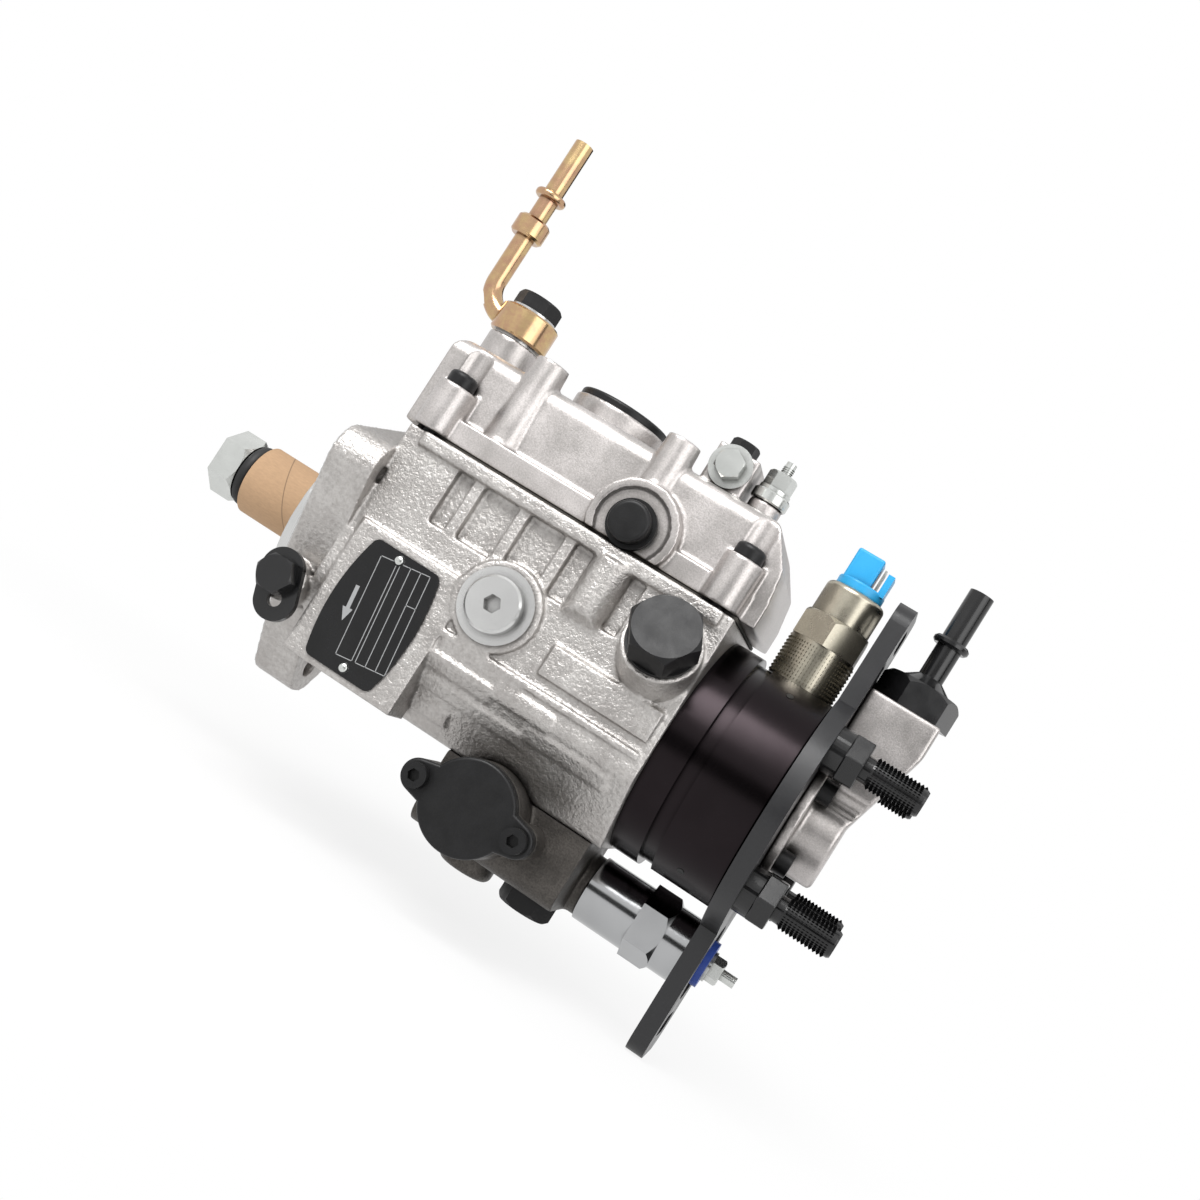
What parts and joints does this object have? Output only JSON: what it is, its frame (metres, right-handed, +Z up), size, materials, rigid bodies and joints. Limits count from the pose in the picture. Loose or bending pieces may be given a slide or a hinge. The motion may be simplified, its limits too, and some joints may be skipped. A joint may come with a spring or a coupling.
{
  "type": "diesel injection pump",
  "caption": "Distributor diesel injection pump with flange, governor cover, stop solenoid, advance unit, threaded delivery outlets, fuel inlet and return pipe.",
  "frame": {"origin": "centre of the flange mounting face on the drive shaft axis", "axes": "+X along the drive shaft to the hydraulic head, +Z up to the control cover, -Y is the name plate side"},
  "size_m": [0.2995, 0.1252, 0.281],
  "materials": {
    "cast_aluminium": "as cast and bead blasted",
    "machined_aluminium": "machined",
    "bright_zinc": "bright zinc plated steel",
    "black_steel": "black phosphated steel",
    "head_steel": "dark hardened steel",
    "yellow_zinc": "yellow passivated steel",
    "zinc_case": "dull zinc plated steel",
    "blue_plastic": "moulded",
    "card": "wound kraft card",
    "rubber": "moulded",
    "plate_black": "printed black aluminium",
    "gasket_paper": "gasket sheet",
    "cast_iron": "as cast",
    "chrome": "polished",
    "ground_steel": "ground steel",
    "bronze": "sintered bronze",
    "tin_contact": "tinned contact"
  },
  "bodies": {
    "root": {"adjuster": "bright_zinc", "advance_bolt": "black_steel", "advance_cover_screws": "black_steel", "advance_covers": "black_steel", "advance_housing": "cast_iron", "banjo_bolt": "black_steel", "banjo_seals": "machined_aluminium", "cold_advance_body": "chrome", "cold_advance_insulator": "blue_plastic", "cold_advance_terminal": "bright_zinc", "control_cover": "cast_aluminium", "cover_screws": "black_steel", "crown_cap": "black_steel", "end_plate": "cast_aluminium", "end_plate_screws": "black_steel", "gaskets": "gasket_paper", "head_locating_fitting": "black_steel", "head_oring": "rubber", "hydraulic_head": "head_steel", "inlet_connector": "black_steel", "inspection_plug": "machined_aluminium", "lock_screw": "black_steel", "lock_spacer": "black_steel", "name_plate": "plate_black", "outlet_connectors": "black_steel", "pump_housing": "cast_aluminium", "pump_liner": "ground_steel", "rear_plate": "black_steel", "return_pipe": "yellow_zinc", "return_springs": "ground_steel", "shaft_bush": "bronze", "shaft_seal": "rubber", "side_plug": "black_steel", "solenoid_body": "zinc_case", "solenoid_cap": "blue_plastic", "solenoid_terminal": "tin_contact", "stop_screw": "black_steel", "vent_screw": "bright_zinc"},
    "drive": {"drive_shaft": "ground_steel", "shaft_key": "ground_steel", "shaft_nut": "bright_zinc", "shaft_oring": "rubber", "transit_tube": "card", "weight_carrier": "ground_steel", "distributor_rotor": "ground_steel", "pumping_elements": "ground_steel", "transfer_rotor": "ground_steel"},
    "sleeve": {"thrust_sleeve": "ground_steel"},
    "weight_1": {"flyweight_1": "ground_steel"},
    "weight_2": {"flyweight_2": "ground_steel"},
    "weight_3": {"flyweight_3": "ground_steel"},
    "weight_4": {"flyweight_4": "ground_steel"},
    "arm": {"governor_arm": "ground_steel"},
    "metering": {"metering_valve": "ground_steel"},
    "throttle": {"throttle_shaft": "ground_steel", "throttle_lever": "black_steel"},
    "cam": {"cam_ring": "ground_steel"},
    "advance": {"advance_piston": "ground_steel"},
    "stop_plunger": {"solenoid_plunger": "ground_steel"},
    "regulator": {"regulating_piston": "ground_steel"}
  },
  "joints": [
    {"name": "drive_spin", "type": "hinge", "parent": "root", "child": "drive", "pos_m": [0, 0, 0], "axis": [1, 0, 0], "continuous": true},
    {"name": "sleeve_slide", "type": "slide", "parent": "drive", "child": "sleeve", "axis": [1, 0, 0], "range_m": [0, 0.003]},
    {"name": "weight_1_swing", "type": "hinge", "parent": "drive", "child": "weight_1", "pos_m": [0.045, 0.01768, 0.01768], "axis": [0, -0.7071, 0.7071], "range_deg": [0, 12.3]},
    {"name": "weight_2_swing", "type": "hinge", "parent": "drive", "child": "weight_2", "pos_m": [0.045, -0.01768, 0.01768], "axis": [0, -0.7071, -0.7071], "range_deg": [0, 12.3]},
    {"name": "weight_3_swing", "type": "hinge", "parent": "drive", "child": "weight_3", "pos_m": [0.045, -0.01768, -0.01768], "axis": [0, 0.7071, -0.7071], "range_deg": [0, 12.3]},
    {"name": "weight_4_swing", "type": "hinge", "parent": "drive", "child": "weight_4", "pos_m": [0.045, 0.01768, -0.01768], "axis": [0, 0.7071, 0.7071], "range_deg": [0, 12.3]},
    {"name": "arm_tilt", "type": "hinge", "parent": "root", "child": "arm", "pos_m": [0.09, 0, 0.0525], "axis": [0, -1, 0], "range_deg": [0, 4.4]},
    {"name": "metering_turn", "type": "hinge", "parent": "root", "child": "metering", "pos_m": [0.136, 0.012, 0.034], "axis": [0, 0, 1], "range_deg": [0, 30.1]},
    {"name": "throttle_turn", "type": "hinge", "parent": "root", "child": "throttle", "pos_m": [0.1055, 0.045, 0.0565], "axis": [0, 1, 0], "range_deg": [-20, 25]},
    {"name": "cam_turn", "type": "hinge", "parent": "root", "child": "cam", "pos_m": [0.111, 0, 0], "axis": [1, 0, 0], "range_deg": [0, 4]},
    {"name": "advance_slide", "type": "slide", "parent": "root", "child": "advance", "axis": [0, 1, 0], "range_m": [0, 0.00393]},
    {"name": "stop_plunger_slide", "type": "slide", "parent": "root", "child": "stop_plunger", "axis": [0, 0, 1], "range_m": [0, 0.0012], "stiffness_N_per_m": 400, "springref_m": -0.004},
    {"name": "regulator_slide", "type": "slide", "parent": "root", "child": "regulator", "axis": [0, 0, 1], "range_m": [0, 0.004], "stiffness_N_per_m": 300, "springref_m": -0.004}
  ],
  "couplings": [
    {"joint": "weight_1_swing", "follows": "sleeve_slide", "rad_per_m": 71.4},
    {"joint": "weight_2_swing", "follows": "sleeve_slide", "rad_per_m": 71.4},
    {"joint": "weight_3_swing", "follows": "sleeve_slide", "rad_per_m": 71.4},
    {"joint": "weight_4_swing", "follows": "sleeve_slide", "rad_per_m": 71.4},
    {"joint": "arm_tilt", "follows": "sleeve_slide", "rad_per_m": 25},
    {"joint": "metering_turn", "follows": "sleeve_slide", "rad_per_m": 174.5},
    {"joint": "advance_slide", "follows": "cam_turn", "m_per_rad": 0.0562}
  ]
}
